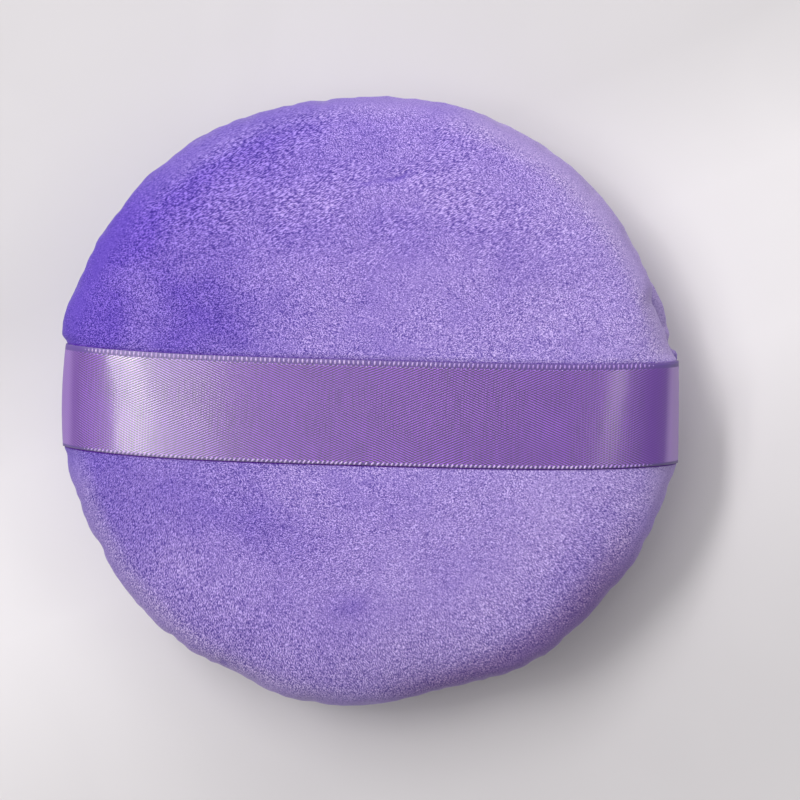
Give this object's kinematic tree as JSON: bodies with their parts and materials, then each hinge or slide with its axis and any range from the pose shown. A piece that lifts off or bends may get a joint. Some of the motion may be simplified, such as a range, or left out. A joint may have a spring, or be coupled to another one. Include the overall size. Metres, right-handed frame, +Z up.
{
  "type": "powder puff",
  "caption": "Round crowned velour powder puff, sewn from upper and lower covers round a foam and wadding filling, with a satin ribbon finger strap across its crown.",
  "frame": {"origin": "on the table, under the middle of the puff's outline", "axes": "+Z up out of the crown, towards the strap; +X along the strap; +Y across it"},
  "size_m": [0.1108, 0.109, 0.0317],
  "materials": {
    "velour": "short dense pile with a brushed nap, soft sheen at grazing angles",
    "satin": "satin weave ribbon, glossy across its width, with beaded woven selvedges",
    "sponge": "open-cell foam, matt",
    "wadding": "loose polyester fibre, matt",
    "thread": "twisted polyester sewing thread, soft gloss"
  },
  "bodies": {
    "pad": {"top_cover": "velour", "bottom_cover": "velour", "foam_core": "sponge", "top_wadding": "wadding", "bottom_wadding": "wadding", "overlock_thread": "thread", "closing_thread": "thread"},
    "strap": {"ribbon_strap": "satin"}
  },
  "joints": [
    {"name": "strap_lift", "type": "slide", "parent": "pad", "child": "strap", "axis": [0, 0, 1], "range_m": [0, 0.01], "deforming": ["ribbon_strap"]}
  ]
}
